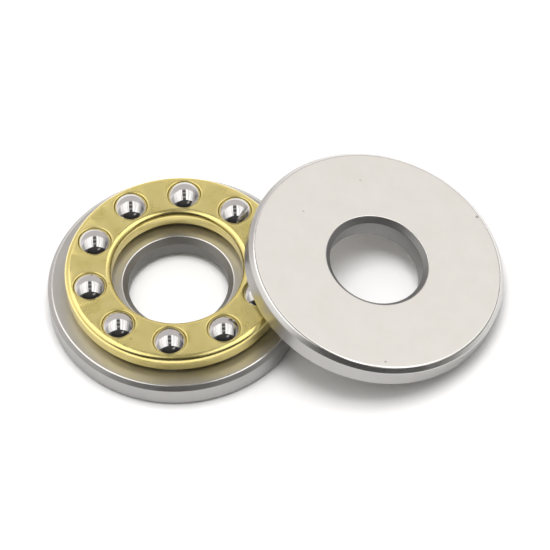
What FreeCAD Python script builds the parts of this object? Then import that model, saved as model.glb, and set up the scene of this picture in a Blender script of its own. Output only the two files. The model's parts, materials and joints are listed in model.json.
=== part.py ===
"""Miniature single-direction thrust ball bearing, 8 x 22 x 7 mm, laid open on a flat surface.

The housing washer lies on its back face with its raceway up, and the caged balls stand in the raceway.
The shaft washer leans on the balls, back face up, with the low side of its rim on the surface.

Millimetres.  The origin is the centre of the housing washer's back face, +Z is that washer's axis,
and +X is the way the leaning shaft washer runs downhill.
"""
import FreeCAD, Part
import math
import os

from FreeCAD import Placement, Rotation, Vector

# Boundary dimensions of the bearing when it is seated
SHAFT_BORE_D = 8.0
HOUSING_D = 22.0
SEATED_HEIGHT = 7.0
HOUSING_BORE_D = 8.4
SHAFT_WASHER_D = 22.0

# Balls
BALL_COUNT = 10
BALL_D = 3.175
PITCH_D = 15.0
FIRST_BALL_ANGLE = 19.8

# Washers
WASHER_THICKNESS = 2.25
GROOVE_RADIUS = 1.70
GROOVE_CLEARANCE = 0.01
HOUSING_RIM_CHAMFER = 0.36
HOUSING_BACK_CHAMFER = 0.30
HOUSING_BORE_CHAMFER = 0.50
SHAFT_RIM_CHAMFER = 0.40
SHAFT_RACE_CHAMFER = 0.30
SHAFT_BORE_CHAMFER = 0.45
SHAFT_BORE_BREAK = 0.15

# Cage: two stamped channels of thin sheet, the lower one nested between the walls of the upper one.
# It is level with the balls' centres.
CAGE_WIDTH = 3.94
CAGE_HEIGHT = 1.80
SHEET = 0.15
NEST_CLEARANCE = 0.01
UPPER_BEND = 0.50
LOWER_BEND = 0.35
UPPER_WALL_END = 2.92
LOWER_WALL_TOP = 3.75
POCKET_D = 2.82
POCKET_EDGE_BREAK = 0.10

# Rest pose of the shaft washer
LEAN_ANGLE = 15.2
LEAN_CLEARANCE = 0.02
LEAN_SIDE_OFFSET = 1.6

# Worked out from the dimensions above
PITCH_R = PITCH_D / 2
BALL_R = BALL_D / 2
BALL_Z = SEATED_HEIGHT / 2
GROOVE_DEPTH = WASHER_THICKNESS - (BALL_Z - BALL_R - GROOVE_CLEARANCE)
CAGE_BOTTOM = BALL_Z - CAGE_HEIGHT / 2
CAGE_TOP = CAGE_BOTTOM + CAGE_HEIGHT


def at(radius, height):
    """Point of a half section, in the XZ plane."""
    return Vector(radius, 0, height)


def line(start, end):
    return Part.LineSegment(start, end).toShape()


def arc(start, middle, end):
    return Part.Arc(start, middle, end).toShape()


def revolved(edges):
    """Solid of revolution about Z of a closed half section."""
    face = Part.Face(Part.Wire(edges))
    return face.revolve(Vector(0, 0, 0), Vector(0, 0, 1), 360)


def washer(bore_r, rim_r, back_bore, back_rim, race_bore, race_rim):
    """Grooved washer, back face at z = 0 and raceway face up; the last four are its chamfers."""
    top = WASHER_THICKNESS
    groove_half = math.sqrt(GROOVE_RADIUS ** 2 - (GROOVE_RADIUS - GROOVE_DEPTH) ** 2)
    outline = [
        at(PITCH_R - groove_half, top),
        at(bore_r + race_bore, top),
        at(bore_r, top - race_bore),
        at(bore_r, back_bore),
        at(bore_r + back_bore, 0),
        at(rim_r - back_rim, 0),
        at(rim_r, back_rim),
        at(rim_r, top - race_rim),
        at(rim_r - race_rim, top),
        at(PITCH_R + groove_half, top),
    ]
    edges = [line(start, end) for start, end in zip(outline, outline[1:])]
    edges.append(arc(outline[-1], at(PITCH_R, top - GROOVE_DEPTH), outline[0]))
    return revolved(edges)


def bend(centre_r, centre_z, radius, start_angle, end_angle):
    """Arc of a half section between two angles, in degrees from the outward direction."""
    angles = [math.radians(a) for a in (start_angle, (start_angle + end_angle) / 2, end_angle)]
    points = [at(centre_r + radius * math.cos(a), centre_z + radius * math.sin(a)) for a in angles]
    return arc(*points)


def joined(sections):
    """Closed half section: the given arcs in order, with straight lines between them."""
    edges = []
    for section, following in zip(sections, sections[1:] + sections[:1]):
        edges.append(section)
        edges.append(line(section.Vertexes[-1].Point, following.Vertexes[0].Point))
    return edges


def channel(half_width, plate_z, wall_z, bend_r):
    """Sheet channel about the pitch circle: a flat plate with a wall bent up or down at each edge."""
    inner, outer = PITCH_R - half_width, PITCH_R + half_width
    up = 1 if wall_z > plate_z else -1
    bend_z = plate_z + up * bend_r
    tip_r = SHEET / 2
    tip_z = wall_z - up * tip_r
    return revolved(joined([
        bend(inner + bend_r, bend_z, bend_r, 180, 180 + up * 90),
        bend(outer - bend_r, bend_z, bend_r, up * -90, 0),
        bend(outer - tip_r, tip_z, tip_r, 0, up * 180),
        bend(outer - bend_r, bend_z, bend_r - SHEET, 0, up * -90),
        bend(inner + bend_r, bend_z, bend_r - SHEET, 180 + up * 90, 180),
        bend(inner + tip_r, tip_z, tip_r, 0, up * 180),
    ]))


def ball_centres():
    """Ball centres on the pitch circle, evenly spaced."""
    angles = [math.radians(FIRST_BALL_ANGLE + 360 / BALL_COUNT * k) for k in range(BALL_COUNT)]
    return [Vector(PITCH_R * math.cos(a), PITCH_R * math.sin(a), BALL_Z) for a in angles]


def pocket_tool(centre, plate_z, out):
    """Cutter for one pocket: a hole through the plate and the broken edge on its outside."""
    pocket_r = POCKET_D / 2
    start = Vector(centre.x, centre.y, plate_z - out * 2 * SHEET)
    hole = Part.makeCylinder(pocket_r, 3 * SHEET, start, Vector(0, 0, out))
    edge_start = Vector(centre.x, centre.y, plate_z - out * POCKET_EDGE_BREAK)
    edge_r = pocket_r + 2 * POCKET_EDGE_BREAK
    edge = Part.makeCone(pocket_r, edge_r, 2 * POCKET_EDGE_BREAK, edge_start, Vector(0, 0, out))
    return hole.fuse(edge)


def housing_washer():
    return washer(HOUSING_BORE_D / 2, HOUSING_D / 2, HOUSING_BORE_CHAMFER, HOUSING_BACK_CHAMFER,
                  HOUSING_BORE_CHAMFER, HOUSING_RIM_CHAMFER)


def shaft_washer():
    """Shaft washer in its rest pose, one edge on the surface and its raceway side over the balls."""
    lean = math.radians(LEAN_ANGLE)
    foot_r = SHAFT_WASHER_D / 2 - SHAFT_RACE_CHAMFER
    under_z = foot_r * math.sin(lean)
    ball_reach = BALL_R + LEAN_CLEARANCE + (BALL_Z - under_z) * math.cos(lean)
    under_x = PITCH_R + ball_reach / math.sin(lean)
    normal = Vector(math.sin(lean), 0, math.cos(lean))
    back_centre = Vector(under_x, LEAN_SIDE_OFFSET, under_z) + normal * WASHER_THICKNESS
    solid = washer(SHAFT_BORE_D / 2, SHAFT_WASHER_D / 2, SHAFT_BORE_CHAMFER, SHAFT_RIM_CHAMFER,
                   SHAFT_BORE_BREAK, SHAFT_RACE_CHAMFER)
    solid.Placement = Placement(back_centre, Rotation(Vector(0, 1, 0), 180 + LEAN_ANGLE))
    return solid


def cage_upper_shell():
    """Upper cage channel, walls down: the outside of the cage."""
    shell = channel(CAGE_WIDTH / 2, CAGE_TOP, UPPER_WALL_END, UPPER_BEND)
    return shell.cut([pocket_tool(centre, CAGE_TOP, 1) for centre in ball_centres()])


def cage_lower_shell():
    """Lower cage channel, walls up inside the upper one."""
    half_width = CAGE_WIDTH / 2 - SHEET - NEST_CLEARANCE
    shell = channel(half_width, CAGE_BOTTOM, LOWER_WALL_TOP, LOWER_BEND)
    return shell.cut([pocket_tool(centre, CAGE_BOTTOM, -1) for centre in ball_centres()])


def nodes():
    """Every separate piece by name."""
    pieces = {
        "housing_washer": housing_washer(),
        "cage_lower_shell": cage_lower_shell(),
        "cage_upper_shell": cage_upper_shell(),
        "shaft_washer": shaft_washer(),
    }
    for number, centre in enumerate(ball_centres(), start=1):
        pieces[f"ball_{number:02d}"] = Part.makeSphere(BALL_R, centre)
    return pieces


os.makedirs("parts", exist_ok=True)
for name, shape in nodes().items():
    print(name, "solids", len(shape.Solids), "valid", shape.isValid(), "mm3", round(shape.Volume, 3))
    shape.exportStep(f"parts/{name}.step")
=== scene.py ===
"""Looks of the 8 x 22 x 7 mm thrust ball bearing, laid open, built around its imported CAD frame.

Every piece is built again with the small edge rounds that turned, ground and stamped parts have,
because those rounds carry the bright lines.  Lengths are in metres.
"""

import json
import math

import bmesh
import bpy
from mathutils import Euler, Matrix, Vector


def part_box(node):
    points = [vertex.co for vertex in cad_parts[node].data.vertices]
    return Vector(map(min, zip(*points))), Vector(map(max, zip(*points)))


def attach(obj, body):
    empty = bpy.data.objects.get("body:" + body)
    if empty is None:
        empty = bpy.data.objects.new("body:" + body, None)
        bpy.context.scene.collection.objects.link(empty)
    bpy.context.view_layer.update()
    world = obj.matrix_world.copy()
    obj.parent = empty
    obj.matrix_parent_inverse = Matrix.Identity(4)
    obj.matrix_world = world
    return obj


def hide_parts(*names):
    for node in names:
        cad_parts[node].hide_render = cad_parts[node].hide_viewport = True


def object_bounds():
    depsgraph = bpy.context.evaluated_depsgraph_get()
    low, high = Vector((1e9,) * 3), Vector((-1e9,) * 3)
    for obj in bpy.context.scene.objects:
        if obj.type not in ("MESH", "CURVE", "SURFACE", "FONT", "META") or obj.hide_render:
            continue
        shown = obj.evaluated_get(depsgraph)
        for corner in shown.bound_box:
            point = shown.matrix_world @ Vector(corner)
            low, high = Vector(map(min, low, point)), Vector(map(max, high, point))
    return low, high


MM = 0.001
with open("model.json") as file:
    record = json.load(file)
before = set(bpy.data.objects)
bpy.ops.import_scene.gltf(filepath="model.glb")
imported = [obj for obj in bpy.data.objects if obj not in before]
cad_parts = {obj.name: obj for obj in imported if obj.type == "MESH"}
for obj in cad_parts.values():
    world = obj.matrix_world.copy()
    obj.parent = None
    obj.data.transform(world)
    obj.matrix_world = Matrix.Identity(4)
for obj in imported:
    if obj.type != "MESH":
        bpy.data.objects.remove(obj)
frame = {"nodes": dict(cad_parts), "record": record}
cad_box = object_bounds()

# Sizes and places that the frame gives
record = frame["record"]
mounts = {mount["name"]: mount for mount in record["mounts"]}
joints = {joint["name"]: joint for joint in record["behaviour"]["joints"]}
ball_names = sorted(node for node in frame["nodes"] if node.startswith("ball_"))
ball_centres = {name: Vector(joints[name + "_spin"]["pos_m"]) for name in ball_names}
_, housing_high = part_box("housing_washer")
upper_low, upper_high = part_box("cage_upper_shell")
lower_low, lower_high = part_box("cage_lower_shell")
ball_low, ball_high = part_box(ball_names[0])
SHAFT_CENTRE = Vector(joints["shaft_washer_spin"]["pos_m"])
SHAFT_AXIS = Vector(joints["shaft_washer_spin"]["axis"])
HOUSING_BORE_R = mounts["housing_bore"]["dims"]["r_mm"] * MM
SHAFT_BORE_R = mounts["shaft_bore"]["dims"]["r_mm"] * MM
BALL_R = (ball_high - ball_low).z / 2
PITCH_R = ball_centres[ball_names[0]].xy.length
RIM_R = housing_high.x
THICKNESS = housing_high.z

# Sizes of the design that the frame doesn't state
BALL_GAP = 0.01 * MM
GROOVE_R = 1.70 * MM
GROOVE_DEPTH = THICKNESS - ball_low.z + BALL_GAP
SHEET = 0.15 * MM
UPPER_BEND_R = 0.50 * MM
LOWER_BEND_R = 0.35 * MM
POCKET_R = 1.41 * MM
POCKET_FLARE = 0.10 * MM

# Facets of a full turn
SEGMENTS = 288
POCKET_SEGMENTS = 72

# Material slots of a washer and of a cage shell
BACK, RACEWAY, RIM, BORE, EDGES, LANDS, BORE_CHAMFERS, RIM_CHAMFERS = range(8)
PLATE, WALLS = range(2)

# Least vertical part of a unit normal on a flat face, on an edge round above a 45 degree chamfer, and
# on a chamfer
FLAT_RISE = 0.995
EDGE_RISE = 0.72
CHAMFER_RISE = 0.3

# Which way the camera looks: the light tent is turned by as much
AZIMUTH = math.radians(9.2)


# ---------------------------------------------------------------- outlines
# An outline is a list of stretches, and a stretch is a list of (point, normal) pairs in the half
# section (radius, height), anticlockwise.  Normals run smoothly along a stretch and break between two.

def polar(angle):
    return Vector((math.cos(angle), math.sin(angle)))


def arc(centre, radius, start, end, steps=8, inward=False):
    """Points and normals of an arc between two angles in degrees."""
    pairs = []
    for k in range(steps + 1):
        out = polar(math.radians(start + (end - start) * k / steps))
        pairs.append((Vector(centre) + out * radius, -out if inward else out))
    return pairs


def round_corner(before, corner, after, radius, steps=6):
    """Points and normals of the arc that rounds one corner."""
    into, away = (corner - before).normalized(), (after - corner).normalized()
    turn = math.atan2(into.x * away.y - into.y * away.x, into.dot(away))
    side = 1 if turn > 0 else -1
    start = corner - into * radius * math.tan(abs(turn) / 2)
    centre = start + Vector((-into.y, into.x)) * radius * side
    first = math.atan2(into.x * -side, into.y * side)
    pairs = []
    for k in range(steps + 1):
        out = polar(first + turn * k / steps)
        pairs.append((centre + out * radius, out * side))
    return pairs


def rounded(corners, closed=False):
    """One smooth stretch through (radius, height, rounding) corners."""
    corners = [(Vector((r, z)), rounding) for r, z, rounding in corners]
    if closed:
        corners = corners[-1:] + corners + corners[:1]
    pairs = []
    for (before, _), (corner, rounding), (after, _) in zip(corners, corners[1:], corners[2:]):
        pairs += round_corner(before, corner, after, rounding)
    if closed:
        return pairs + pairs[:1]
    (first, _), (second, _) = corners[:2]
    (last_but_one, _), (last, _) = corners[-2:]
    out, back = (second - first).normalized(), (last - last_but_one).normalized()
    return [(first, Vector((out.y, -out.x)))] + pairs + [(last, Vector((back.y, -back.x)))]


def washer_outline(bore_r, back_bore, back_rim, race_bore, race_rim, bore_round, race_round, back_round):
    """Grooved washer, raceway face up at height 0 and back face down.

    It has four chamfers, and three edge roundings: around the bore, and around the rim on both sides.
    """
    half = math.sqrt(GROOVE_R ** 2 - (GROOVE_R - GROOVE_DEPTH) ** 2)
    edge = math.degrees(math.acos(half / GROOVE_R))
    body = rounded([
        (PITCH_R - half, 0, 0),
        (bore_r + race_bore, 0, bore_round),
        (bore_r, -race_bore, bore_round),
        (bore_r, back_bore - THICKNESS, bore_round),
        (bore_r + back_bore, -THICKNESS, bore_round),
        (RIM_R - back_rim, -THICKNESS, back_round),
        (RIM_R, back_rim - THICKNESS, back_round / 2),
        (RIM_R, -race_rim, race_round / 2),
        (RIM_R - race_rim, 0, race_round),
        (PITCH_R + half, 0, 0),
    ])
    groove = arc((PITCH_R, GROOVE_R - GROOVE_DEPTH), GROOVE_R, -edge, edge - 180, steps=24, inward=True)
    return [body, groove]


def channel_outline(outer_r, plate_z, wall_z, bend):
    """Cage channel about the pitch circle: a plate with a wall bent up or down at each edge."""
    tip = SHEET * 0.45
    up = 1 if wall_z > plate_z else -1
    outer = [(outer_r - SHEET, plate_z + up * SHEET, bend - SHEET), (outer_r - SHEET, wall_z, tip),
             (outer_r, wall_z, tip), (outer_r, plate_z, bend)]
    mirrored = [(2 * PITCH_R - r, z, rounding) for r, z, rounding in outer]
    around = outer + mirrored[::-1]
    return [rounded(around if up < 0 else around[::-1], closed=True)]


# ---------------------------------------------------------------- meshes

def add_object(name, mesh):
    piece = bpy.data.objects.new(name, mesh)
    bpy.context.scene.collection.objects.link(piece)
    return piece


def lathe(name, outline, finish_of=None):
    """Solid of revolution about Z with exact normals; finish_of(point, normal) picks a material slot."""
    ring = [pair for stretch in outline for pair in stretch[:-1]]
    spans = [span for stretch in outline for span in zip(stretch, stretch[1:])]
    count = len(ring)
    turns = [polar(2 * math.pi * k / SEGMENTS) for k in range(SEGMENTS)]
    verts = [(p.x * t.x, p.x * t.y, p.y) for t in turns for p, _ in ring]
    faces, normals, finishes = [], [], []
    for k, here in enumerate(turns):
        following = (k + 1) % SEGMENTS
        there = turns[following]
        for i, ((start, start_n), (end, end_n)) in enumerate(spans):
            j = (i + 1) % count
            faces.append((k * count + i, following * count + i, following * count + j, k * count + j))
            for t, n in ((here, start_n), (there, start_n), (there, end_n), (here, end_n)):
                normals.append((n.x * t.x, n.x * t.y, n.y))
            finishes.append(finish_of((start + end) / 2, start_n + end_n) if finish_of else 0)
    mesh = bpy.data.meshes.new(name)
    mesh.from_pydata(verts, [], faces)
    mesh.polygons.foreach_set("use_smooth", [True] * len(faces))
    mesh.polygons.foreach_set("material_index", finishes)
    mesh.normals_split_custom_set(normals)
    return add_object(name, mesh)


def ball(name, centre):
    """Ball with exact radial normals."""
    shape = bmesh.new()
    bmesh.ops.create_icosphere(shape, subdivisions=6, radius=BALL_R)
    mesh = bpy.data.meshes.new(name)
    shape.to_mesh(mesh)
    shape.free()
    mesh.polygons.foreach_set("use_smooth", [True] * len(mesh.polygons))
    mesh.normals_split_custom_set_from_vertices([v.co.normalized() for v in mesh.vertices])
    piece = add_object(name, mesh)
    piece.location = centre
    return piece


def pocket_cutters(plate_z, out):
    """One tool for all ball pockets, flared where it leaves the plate so that each hole's edge is round."""
    flare_centre = (POCKET_R + POCKET_FLARE, plate_z - out * POCKET_FLARE)
    edge = [p for p, _ in arc(flare_centre, POCKET_FLARE, 180, 180 - out * 90, steps=6)]
    path = [Vector((POCKET_R, plate_z - out * 2 * SHEET))] + edge
    path.append(Vector((edge[-1].x, plate_z + out * SHEET)))
    shape = bmesh.new()
    for centre in ball_centres.values():
        rings = []
        for point in path:
            turned = [polar(2 * math.pi * k / POCKET_SEGMENTS) * point.x for k in range(POCKET_SEGMENTS)]
            rings.append([shape.verts.new((centre.x + t.x, centre.y + t.y, point.y)) for t in turned])
        for ring, following in zip(rings, rings[1:]):
            for k in range(POCKET_SEGMENTS):
                shape.faces.new((ring[k], ring[k - 1], following[k - 1], following[k]))
        shape.faces.new(rings[0])
        shape.faces.new(rings[-1])
    bmesh.ops.recalc_face_normals(shape, faces=shape.faces)
    mesh = bpy.data.meshes.new("pocket_cutters")
    shape.to_mesh(mesh)
    shape.free()
    return add_object("pocket_cutters", mesh)


def pierce(shell, plate_z, out):
    """Cuts the ball pockets through a shell's plate, and shades each surface by its own faces.

    The shell has its materials by now, so that its faces keep their slots through the cut.
    """
    cutters = pocket_cutters(plate_z, out)
    cut = shell.modifiers.new("pockets", "BOOLEAN")
    cut.operation, cut.solver, cut.object = "DIFFERENCE", "EXACT", cutters
    mesh = bpy.data.meshes.new_from_object(shell.evaluated_get(bpy.context.evaluated_depsgraph_get()))
    shell.modifiers.clear()
    shell.data = mesh
    bpy.data.objects.remove(cutters)
    mesh.set_sharp_from_angle(angle=math.radians(35))
    weighted = shell.modifiers.new("face_weighted_normals", "WEIGHTED_NORMAL")
    weighted.keep_sharp = True


# ---------------------------------------------------------------- shader nodes

def add_node(tree, kind, inputs=None, **settings):
    """New shader node; an input is a plain value or another node's output socket."""
    node = tree.nodes.new(kind)
    for key, value in settings.items():
        setattr(node, key, value)
    for key, value in (inputs or {}).items():
        if isinstance(value, bpy.types.NodeSocket):
            tree.links.new(value, node.inputs[key])
        else:
            node.inputs[key].default_value = value
    return node


def maths(tree, operation, *values):
    return add_node(tree, "ShaderNodeMath", dict(enumerate(values)), operation=operation).outputs[0]


def step(tree, value, start, end, low=0.0, high=1.0):
    """Smooth step from low, where value is start, to high, where it is end."""
    sockets = {"Value": value, "From Min": start, "From Max": end, "To Min": low, "To Max": high}
    return add_node(tree, "ShaderNodeMapRange", sockets, interpolation_type="SMOOTHSTEP").outputs[0]


def noise(tree, vector, size, detail=3.0, roughness=0.5):
    """Noise with features of about that size in metres."""
    sockets = {"Vector": vector, "Scale": 1 / size, "Detail": detail, "Roughness": roughness}
    return add_node(tree, "ShaderNodeTexNoise", sockets).outputs["Fac"]


def stretched(tree, vector, scale):
    return add_node(tree, "ShaderNodeMapping", {"Vector": vector, "Scale": scale}).outputs["Vector"]


def ramp(tree, value, *stops):
    """Colour by value, between (value, (red, green, blue)) stops."""
    node = add_node(tree, "ShaderNodeValToRGB", {"Fac": value})
    elements = node.color_ramp.elements
    while len(elements) < len(stops):
        elements.new(0.5)
    for element, (position, colour) in zip(elements, stops):
        element.position, element.color = position, (*colour, 1)
    return node.outputs["Color"]


def rings(tree, where):
    """Vector of (distance from the axis, 0, height): noise on it gives the rings that turning leaves."""
    flat = add_node(tree, "ShaderNodeVectorMath", {0: where, 1: (1, 1, 0)}, operation="MULTIPLY")
    length = add_node(tree, "ShaderNodeVectorMath", {0: flat.outputs[0]}, operation="LENGTH")
    height = add_node(tree, "ShaderNodeSeparateXYZ", {0: where}).outputs["Z"]
    sockets = {"X": length.outputs["Value"], "Z": height}
    return add_node(tree, "ShaderNodeCombineXYZ", sockets).outputs["Vector"]


def specks(tree, where, size, share):
    """Sparse round specks, 1 inside: one speck in each of a share of the cells of that size."""
    cells = add_node(tree, "ShaderNodeTexVoronoi", {"Vector": where, "Scale": 1 / size})
    chosen = add_node(tree, "ShaderNodeSeparateXYZ", {0: cells.outputs["Color"]}).outputs["X"]
    dot = step(tree, cells.outputs["Distance"], start=0.16, end=0.08)
    return maths(tree, "MULTIPLY", dot, maths(tree, "LESS_THAN", chosen, share))


def bump(tree, height, depth, below=None):
    """Normal of a relief that is depth metres deep where height goes from 0 to 1."""
    sockets = {"Height": height, "Distance": depth, "Strength": 1.0}
    if below:
        sockets["Normal"] = below
    return add_node(tree, "ShaderNodeBump", sockets).outputs["Normal"]


def metal(name, tones, roughness, grain_of, grain_size, grain_depth, cloud_size, wave=None, dirt=None):
    """Bare metal with a mottled tone, a fine grain in relief, and specks of dirt.

    tones are two or more ramp stops, roughness a (low, high) pair, wave the (size, depth) of a broader
    relief, and dirt the (cell size, share, colour) of the specks.
    """
    material = bpy.data.materials.new(name)
    material.use_nodes = True
    tree = material.node_tree
    shader = tree.nodes["Principled BSDF"]
    shader.inputs["Metallic"].default_value = 1.0
    where = add_node(tree, "ShaderNodeTexCoord").outputs["Object"]
    grain = noise(tree, grain_of(tree, where), grain_size, detail=3.0, roughness=0.6)
    cloud = noise(tree, where, cloud_size, detail=4.0, roughness=0.55)
    tone = maths(tree, "ADD", maths(tree, "MULTIPLY", cloud, 0.7), maths(tree, "MULTIPLY", grain, 0.3))
    colour = ramp(tree, tone, *tones)
    if dirt:
        size, share, shade = dirt
        spots = specks(tree, where, size, share)
        mix = {0: spots, 6: colour, 7: (*shade, 1)}
        colour = add_node(tree, "ShaderNodeMix", mix, data_type="RGBA").outputs[2]
    tree.links.new(colour, shader.inputs["Base Color"])
    low, high = roughness
    tree.links.new(step(tree, tone, start=0.3, end=0.7, low=low, high=high), shader.inputs["Roughness"])
    normal = None
    if wave:
        size, depth = wave
        normal = bump(tree, noise(tree, where, size, detail=1.0), depth)
    normal = bump(tree, grain, grain_depth, normal)
    tree.links.new(normal, shader.inputs["Normal"])
    return material


def isotropic(tree, where):
    return where


# ---------------------------------------------------------------- materials

def ground_steel():
    """Surface-ground washer faces: fine short scratches in all directions and a faint warm mottle."""
    return metal("ground_steel", [(0.35, (0.73, 0.705, 0.665)), (0.65, (0.78, 0.76, 0.72))],
                 roughness=(0.29, 0.34), grain_of=isotropic, grain_size=0.05 * MM, grain_depth=0.0010 * MM,
                 cloud_size=2.4 * MM, wave=(3.0 * MM, 0.003 * MM), dirt=(1.1 * MM, 0.04, (0.40, 0.38, 0.36)))


def turned_steel(name, dark, light, roughness):
    """Rim or its chamfers, with fine tool rings."""
    return metal(name, [(0.3, dark), (0.7, light)], roughness, grain_of=rings, grain_size=0.06 * MM,
                 grain_depth=0.0012 * MM, cloud_size=1.5 * MM, dirt=(0.6 * MM, 0.03, (0.35, 0.33, 0.31)))


def rubbed_steel(name, dark, light, roughness):
    """Edges between faces and chamfers, rubbed bright."""
    return metal(name, [(0.3, dark), (0.7, light)], roughness, grain_of=rings, grain_size=0.05 * MM,
                 grain_depth=0.0006 * MM, cloud_size=0.7 * MM)


def bore_steel_with_painted_shade(name, dark, light):
    """Bore or its chamfers: turned, rougher than the ground faces, with a darker tone that is partly painted
    shade of the hole.
    """
    return metal(name, [(0.3, dark), (0.7, light)], roughness=(0.45, 0.55), grain_of=rings,
                 grain_size=0.08 * MM, grain_depth=0.002 * MM, cloud_size=1.0 * MM)


def land_steel_with_painted_shade():
    """Flat lands beside the raceway, under the cage: rougher than the ground faces, with a darker tone that
    is painted shade from the cage above them.
    """
    return metal("land_steel_with_painted_shade", [(0.35, (0.58, 0.565, 0.545)), (0.65, (0.625, 0.61, 0.59))],
                 roughness=(0.40, 0.46), grain_of=isotropic, grain_size=0.05 * MM, grain_depth=0.0010 * MM,
                 cloud_size=2.4 * MM, wave=(2.0 * MM, 0.003 * MM), dirt=(1.1 * MM, 0.03, (0.40, 0.38, 0.36)))


def raceway_steel():
    """Polished groove."""
    return metal("raceway_steel", [(0.3, (0.52, 0.50, 0.48)), (0.7, (0.60, 0.58, 0.56))],
                 roughness=(0.14, 0.20), grain_of=rings, grain_size=0.04 * MM, grain_depth=0.0004 * MM,
                 cloud_size=1.5 * MM)


def ball_steel():
    """Lapped balls: a near mirror with hairline scratches."""
    return metal("ball_steel", [(0.3, (0.67, 0.655, 0.65)), (0.7, (0.73, 0.715, 0.71))],
                 roughness=(0.035, 0.06), grain_of=isotropic, grain_size=0.05 * MM, grain_depth=0.00003 * MM,
                 cloud_size=0.8 * MM)


def cage_brass(name, roughness):
    """Brass sheet with stains and small dents."""
    tones = [(0.30, (0.93, 0.78, 0.275)), (0.50, (0.96, 0.82, 0.33)), (0.70, (0.97, 0.845, 0.37))]
    return metal(name, tones, roughness, grain_of=isotropic, grain_size=0.07 * MM, grain_depth=0.0032 * MM,
                 cloud_size=1.3 * MM, wave=(1.1 * MM, 0.004 * MM), dirt=(0.5 * MM, 0.05, (0.45, 0.30, 0.09)))


def plain_floor():
    """Pale seamless table, barely mottled."""
    material = bpy.data.materials.new("plain_floor")
    material.use_nodes = True
    tree = material.node_tree
    shader = tree.nodes["Principled BSDF"]
    where = add_node(tree, "ShaderNodeTexCoord").outputs["Object"]
    shade = noise(tree, where, size=20 * MM)
    tree.links.new(ramp(tree, shade, (0.0, (0.93, 0.93, 0.93)), (1.0, (0.95, 0.95, 0.95))),
                   shader.inputs["Base Color"])
    shader.inputs["Roughness"].default_value = 0.6
    shader.inputs["Specular IOR Level"].default_value = 0.2
    return material


# ---------------------------------------------------------------- pieces

def finish_piece(piece, node, body, slot, *materials):
    """Dresses a piece and puts it in a CAD node's place."""
    for material in materials:
        piece.data.materials.append(material)
    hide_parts(node)
    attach(piece, body)


def washer_finish(point, normal):
    """Slot of a washer's surface, by where it lies and how steep it is."""
    below_race_face = -1.01 * GROOVE_DEPTH < point.y < -1e-7
    if normal.y > 0 and below_race_face and abs(point.x - PITCH_R) < 0.15 * PITCH_R:
        return RACEWAY
    rise = abs(normal.normalized().y)
    if rise > FLAT_RISE:
        return LANDS if normal.y > 0 else BACK
    if rise > EDGE_RISE:
        return EDGES
    if point.x > PITCH_R:
        return RIM_CHAMFERS if rise > CHAMFER_RISE else RIM
    return BORE_CHAMFERS if rise > CHAMFER_RISE else BORE


def add_washers():
    housing_steels = {
        BACK: ground_steel(),
        RACEWAY: raceway_steel(),
        RIM: turned_steel("housing_rim_steel", (0.40, 0.39, 0.385), (0.45, 0.44, 0.43), (0.34, 0.40)),
        # Housing bore: its very dark tone is partly painted shade of the hole.
        BORE: bore_steel_with_painted_shade("housing_bore_painted_shade_steel", (0.165, 0.16, 0.153), (0.21, 0.205, 0.197)),
        EDGES: rubbed_steel("housing_edge_steel", (0.78, 0.765, 0.74), (0.88, 0.865, 0.84), (0.18, 0.26)),
        # Lands under the cage: darker tone painted as shade from the cage.
        LANDS: land_steel_with_painted_shade(),
        # Housing bore chamfers: darker tone, partly painted shade of the hole.
        BORE_CHAMFERS: bore_steel_with_painted_shade("housing_bore_chamfer_painted_shade_steel", (0.33, 0.32, 0.31), (0.39, 0.38, 0.37)),
        RIM_CHAMFERS: turned_steel("housing_rim_chamfer_steel", (0.44, 0.43, 0.42), (0.50, 0.49, 0.475),
                                   (0.38, 0.44)),
    }
    outline = washer_outline(HOUSING_BORE_R, back_bore=0.50 * MM, back_rim=0.30 * MM, race_bore=0.50 * MM,
                             race_rim=0.36 * MM, bore_round=0.15 * MM, race_round=0.20 * MM,
                             back_round=0.10 * MM)
    housing = lathe("housing_washer_ground", outline, washer_finish)
    housing.location = (0, 0, THICKNESS)
    finish_piece(housing, "housing_washer", "housing", "washer_steel", *housing_steels.values())

    outline = washer_outline(SHAFT_BORE_R, back_bore=0.45 * MM, back_rim=0.40 * MM, race_bore=0.15 * MM,
                             race_rim=0.30 * MM, bore_round=0.12 * MM, race_round=0.08 * MM,
                             back_round=0.33 * MM)
    # Shaft bore and its chamfers: darker tone, partly painted shade of the hole.
    bore_steel = bore_steel_with_painted_shade("shaft_bore_painted_shade_steel", (0.28, 0.275, 0.27), (0.34, 0.335, 0.33))
    shaft_steels = housing_steels | {
        RIM: turned_steel("shaft_rim_steel", (0.43, 0.42, 0.415), (0.48, 0.47, 0.46), (0.30, 0.36)),
        BORE: bore_steel,
        EDGES: rubbed_steel("shaft_edge_steel", (0.84, 0.82, 0.80), (0.93, 0.91, 0.89), (0.13, 0.19)),
        BORE_CHAMFERS: bore_steel,
        RIM_CHAMFERS: turned_steel("shaft_rim_chamfer_steel", (0.58, 0.57, 0.555), (0.64, 0.63, 0.615),
                                   (0.28, 0.34)),
    }
    shaft = lathe("shaft_washer_ground", outline, washer_finish)
    shaft.location = SHAFT_CENTRE - SHAFT_AXIS * THICKNESS
    shaft.rotation_euler = (-SHAFT_AXIS).to_track_quat("Z", "Y").to_euler()
    finish_piece(shaft, "shaft_washer", "shaft_side", "washer_steel", *shaft_steels.values())


def cage_finish(point, normal):
    """Slot of a cage shell's surface: the flat plate, or the walls and bends."""
    return PLATE if abs(normal.normalized().y) > FLAT_RISE else WALLS


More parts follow.
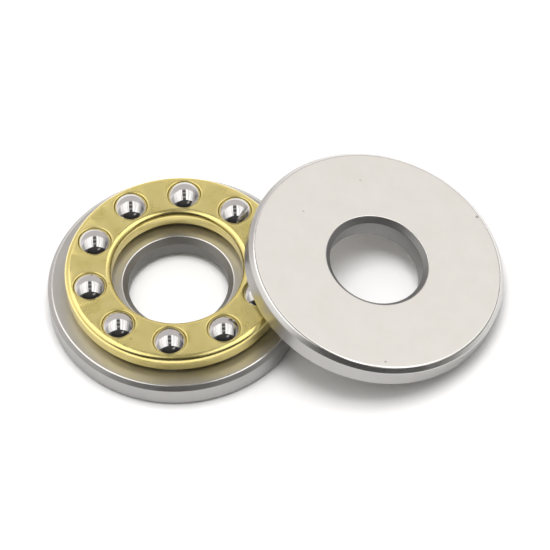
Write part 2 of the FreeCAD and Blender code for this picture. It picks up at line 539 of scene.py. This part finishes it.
def add_cage():
    brass = {PLATE: cage_brass("sheet_brass", (0.26, 0.33)), WALLS: cage_brass("drawn_brass", (0.19, 0.25))}
    for node, plate_z, wall_z, bend in (("cage_upper_shell", upper_high.z, upper_low.z, UPPER_BEND_R),
                                        ("cage_lower_shell", lower_low.z, lower_high.z, LOWER_BEND_R)):
        outer_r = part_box(node)[1].x
        shell = lathe(node + "_stamped", channel_outline(outer_r, plate_z, wall_z, bend), cage_finish)
        for material in brass.values():
            shell.data.materials.append(material)
        pierce(shell, plate_z, 1 if plate_z > wall_z else -1)
        finish_piece(shell, node, "cage", "cage_brass")


def add_balls():
    steel = ball_steel()
    for name, centre in ball_centres.items():
        finish_piece(ball(name + "_lapped", centre), name, name + "_body", "ball_steel", steel)


# ---------------------------------------------------------------- studio

def add_floor():
    bpy.ops.mesh.primitive_plane_add(size=6, location=(0, 0, cad_box[0][2] - 0.005 * MM))
    floor = bpy.context.object
    floor.name = "floor"
    floor.data.materials.append(plain_floor())


def light_tent():
    """Light by direction: two overhead panels with a gap between them, a dark front and a grey back.

    The panels are mottled by the folds of the cloth, a faint lamp shows in the dark front, and all of it
    is dimmer on the right.  Across and along are the places where a direction meets a ceiling one unit
    up, so that the panels' edges are straight there; along runs from the camera to the back.
    """
    fold_stretch = (5.0, 0.3, 1.0)
    fixture_rate = 6.8
    lamp_across, lamp_along = 0.65, -1.15
    arch_rise, arch_round = 0.3, 0.05
    world = bpy.data.worlds.new("light_tent")
    bpy.context.scene.world = world
    world.use_nodes = True
    tree = world.node_tree
    generated = add_node(tree, "ShaderNodeTexCoord").outputs["Generated"]
    turned = add_node(tree, "ShaderNodeMapping", {"Vector": generated, "Rotation": (0, 0, -AZIMUTH)})
    x, y, z = add_node(tree, "ShaderNodeSeparateXYZ", {0: turned.outputs["Vector"]}).outputs
    height = maths(tree, "MAXIMUM", z, 0.001)
    across, along = maths(tree, "DIVIDE", x, height), maths(tree, "DIVIDE", y, height)
    aside = maths(tree, "ABSOLUTE", across)
    off_back = maths(tree, "DEGREES", maths(tree, "ARCTAN2", maths(tree, "ABSOLUTE", x), y))

    ceiling = add_node(tree, "ShaderNodeCombineXYZ", {"X": across, "Y": along}).outputs["Vector"]
    mottle = noise(tree, stretched(tree, ceiling, fold_stretch), size=1.0, detail=2.0)
    folds = step(tree, mottle, start=0.3, end=0.7, low=0.55, high=1.18)
    panel = maths(tree, "MULTIPLY", step(tree, aside, start=0.7, end=3.0, low=1.58, high=0.65), folds)
    fixtures = maths(tree, "ABSOLUTE", maths(tree, "COSINE", maths(tree, "MULTIPLY", along, fixture_rate)))
    gap = step(tree, fixtures, start=0.45, end=0.90, low=0.36, high=0.09)
    overhead = step(tree, aside, start=0.14, end=0.24, low=gap, high=panel)
    back = step(tree, off_back, start=45.0, end=75.0, low=0.70, high=1.0)
    behind = step(tree, along, start=0.72, end=0.88, low=overhead, high=back)

    lamp_aside = maths(tree, "POWER", maths(tree, "SUBTRACT", across, lamp_across), 2.0)
    lamp_ahead = maths(tree, "POWER", maths(tree, "SUBTRACT", along, lamp_along), 2.0)
    from_lamp = maths(tree, "ADD", lamp_aside, lamp_ahead)
    lamp = maths(tree, "MULTIPLY", step(tree, from_lamp, start=0.14, end=0.03, low=0.0, high=0.35), folds)
    dark = maths(tree, "ADD", step(tree, z, start=0.3, end=0.8, low=0.03, high=0.07), lamp)
    front = step(tree, off_back, start=105.0, end=135.0, low=0.24, high=dark)

    spread = maths(tree, "SQRT", maths(tree, "MULTIPLY_ADD", across, across, arch_round))
    arch = maths(tree, "MULTIPLY_ADD", spread, arch_rise, along)
    everything = step(tree, arch, start=-0.54, end=-0.46, low=front, high=behind)
    dimming = step(tree, x, start=0.60, end=0.97, low=1.0, high=0.35)
    everything = maths(tree, "MULTIPLY", everything, dimming)
    warmth = ramp(tree, step(tree, along, start=0.78, end=0.92),
                  (0.0, (1.0, 0.985, 0.965)), (1.0, (1.0, 0.955, 0.94)))
    background = tree.nodes["Background"]
    tree.links.new(warmth, background.inputs["Color"])
    tree.links.new(everything, background.inputs["Strength"])

    backdrop = add_node(tree, "ShaderNodeBackground", {"Color": (1, 1, 1, 1), "Strength": 1.0})
    seen = add_node(tree, "ShaderNodeLightPath").outputs["Is Camera Ray"]
    sockets = {0: seen, 1: background.outputs[0], 2: backdrop.outputs[0]}
    mixed = add_node(tree, "ShaderNodeMixShader", sockets)
    tree.links.new(mixed.outputs[0], tree.nodes["World Output"].inputs["Surface"])


def table_light():
    """Broad overhead panel for the table, left out of reflections."""
    data = bpy.data.lights.new("table_light", "AREA")
    data.shape, data.size, data.energy = "DISK", 0.25, 1.2
    light = bpy.data.objects.new("table_light", data)
    bpy.context.scene.collection.objects.link(light)
    light.location = (0.008, 0.03, 0.45)
    light.visible_glossy = False
    light.visible_camera = False


def add_camera():
    data = bpy.data.cameras.new("camera")
    data.lens, data.sensor_width = 524.2, 36.0
    camera = bpy.data.objects.new("camera", data)
    bpy.context.scene.collection.objects.link(camera)
    bpy.context.scene.camera = camera
    elevation, roll = math.radians(54.63), math.radians(-3.82)
    distance = 0.676
    target = Vector((7.8, 2.9, 0.0)) * MM
    turn = Euler((math.pi / 2 - elevation, 0, AZIMUTH)).to_matrix()
    camera.location = target + turn @ Vector((0, 0, distance))
    camera.rotation_euler = (turn @ Euler((0, 0, roll)).to_matrix()).to_euler()


add_washers()
add_cage()
add_balls()
add_floor()
light_tent()
table_light()
add_camera()
bpy.context.scene.view_settings.view_transform = "Standard"
